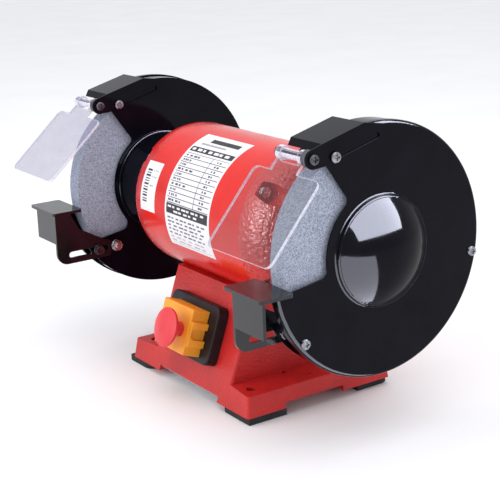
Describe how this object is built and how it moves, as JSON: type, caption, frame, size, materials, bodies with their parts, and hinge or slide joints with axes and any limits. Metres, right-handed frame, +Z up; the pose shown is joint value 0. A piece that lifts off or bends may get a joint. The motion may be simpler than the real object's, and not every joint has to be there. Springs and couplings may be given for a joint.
{
  "type": "bench grinder",
  "caption": "Electric bench grinder: motor on a pedestal base, guarded abrasive wheel at each end, adjustable eye shields, tool rests and a stop switch.",
  "frame": {"origin": "on the bench, at the centre of the four mounting holes, under the middle of the shaft", "axes": "+Z up, +X along the shaft to the right wheel, -Y towards the operator"},
  "size_m": [0.4726, 0.2629, 0.2911],
  "materials": {
    "red_paint": "gloss enamel over castings and tube",
    "black_paint": "gloss black enamel on pressed sheet",
    "rest_black": "satin black powder coat",
    "abrasive": "vitrified aluminium oxide, open grain",
    "card": "compressed card",
    "steel": "machined, lightly oiled",
    "zinc_steel": "bright zinc plated",
    "dark_steel": "black oxide",
    "electrical_steel": "stacked laminations",
    "copper_wire": "enamelled winding wire",
    "rotor_aluminium": "die cast",
    "capacitor_can": "drawn can",
    "clear_plastic": "clear polycarbonate",
    "rubber_black": "moulded rubber",
    "black_plastic": "moulded, fine texture",
    "yellow_plastic": "moulded",
    "red_plastic": "moulded",
    "green_plastic": "moulded",
    "label_print": "printed film"
  },
  "bodies": {
    "base": {"motor_tube": "red_paint", "cradle_bolts": "zinc_steel", "end_bell_right": "red_paint", "end_bell_left": "red_paint", "tie_bolts": "zinc_steel", "tie_bolt_nuts": "zinc_steel", "stator_core": "electrical_steel", "stator_windings": "copper_wire", "bearing_outer_races": "steel", "bearing_balls": "zinc_steel", "bearing_preload_washer": "steel", "guard_plate_right": "black_paint", "guard_plate_left": "black_paint", "guard_cover_right": "black_paint", "guard_cover_left": "black_paint", "guard_hub_right": "black_paint", "guard_hub_left": "black_paint", "guard_bolts": "zinc_steel", "cover_screws": "dark_steel", "guard_stay_bolts": "zinc_steel", "base_casting": "red_paint", "base_bottom_plate": "zinc_steel", "bottom_plate_screws": "zinc_steel", "rubber_feet": "rubber_black", "run_capacitor": "capacitor_can", "terminal_block": "black_plastic", "cable_gland": "black_plastic", "bracket_screws": "dark_steel", "rest_bolts": "dark_steel", "rest_nuts": "zinc_steel", "switch_housing": "black_plastic", "flap_hinge_pin": "steel", "data_label": "label_print", "serial_label": "label_print"},
    "rotor": {"rotor_core": "electrical_steel", "rotor_end_rings": "rotor_aluminium", "arbor_shaft": "steel", "bearing_inner_races": "steel", "wheel_right": "abrasive", "wheel_left": "abrasive", "inner_flange_right": "steel", "inner_flange_left": "steel", "outer_flange_right": "steel", "outer_flange_left": "steel", "arbor_nut_right": "zinc_steel", "arbor_nut_left": "zinc_steel", "wheel_blotters": "card"},
    "bracket_right": {"shield_bracket_right": "black_paint", "shield_pivot_right": "dark_steel"},
    "bracket_left": {"shield_bracket_left": "black_paint", "shield_pivot_left": "dark_steel"},
    "shield_right": {"eye_shield_right": "clear_plastic"},
    "shield_left": {"eye_shield_left": "clear_plastic"},
    "rest_right": {"tool_rest_right": "rest_black"},
    "rest_left": {"tool_rest_left": "rest_black"},
    "flap": {"switch_flap": "yellow_plastic"},
    "mushroom": {"mushroom_button": "red_plastic"},
    "off_button": {"off_button": "red_plastic"},
    "on_button": {"on_button": "green_plastic"}
  },
  "joints": [
    {"name": "arbor_spin", "type": "hinge", "parent": "base", "child": "rotor", "pos_m": [0, 0, 0.1752], "axis": [1, 0, 0], "continuous": true},
    {"name": "flap_hinge", "type": "hinge", "parent": "base", "child": "flap", "pos_m": [-0.031, -0.07818, 0.0677], "axis": [0, -0.3387, -0.9409], "range_deg": [0, 100]},
    {"name": "stop_press", "type": "slide", "parent": "flap", "child": "mushroom", "axis": [0, 0.9409, -0.3387], "range_m": [0, 0.004], "stiffness_N_per_m": 300, "springref_m": -0.002},
    {"name": "off_press", "type": "slide", "parent": "base", "child": "off_button", "axis": [0, 0.9409, -0.3387], "range_m": [0, 0.004], "stiffness_N_per_m": 300, "springref_m": -0.002},
    {"name": "on_press", "type": "slide", "parent": "base", "child": "on_button", "axis": [0, 0.9409, -0.3387], "range_m": [0, 0.003], "stiffness_N_per_m": 300, "springref_m": -0.002},
    {"name": "bracket_slide_right", "type": "slide", "parent": "base", "child": "bracket_right", "axis": [0, -0.9659, -0.2588], "range_m": [0, 0.044]},
    {"name": "shield_tilt_right", "type": "hinge", "parent": "bracket_right", "child": "shield_right", "pos_m": [0, -0.07228, 0.26723], "axis": [-1, 0, 0], "range_deg": [-10, 75]},
    {"name": "rest_slide_right", "type": "slide", "parent": "base", "child": "rest_right", "axis": [0, -1, 0], "range_m": [-0.0015, 0.008]},
    {"name": "bracket_slide_left", "type": "slide", "parent": "base", "child": "bracket_left", "axis": [0, -0.9659, -0.2588], "range_m": [0, 0.044]},
    {"name": "shield_tilt_left", "type": "hinge", "parent": "bracket_left", "child": "shield_left", "pos_m": [0, -0.07228, 0.26723], "axis": [-1, 0, 0], "range_deg": [-17, 67]},
    {"name": "rest_slide_left", "type": "slide", "parent": "base", "child": "rest_left", "axis": [0, -1, 0], "range_m": [-0.0015, 0.008]}
  ],
  "couplings": [
    {"joint": "off_press", "follows": "stop_press", "ratio": 1}
  ]
}
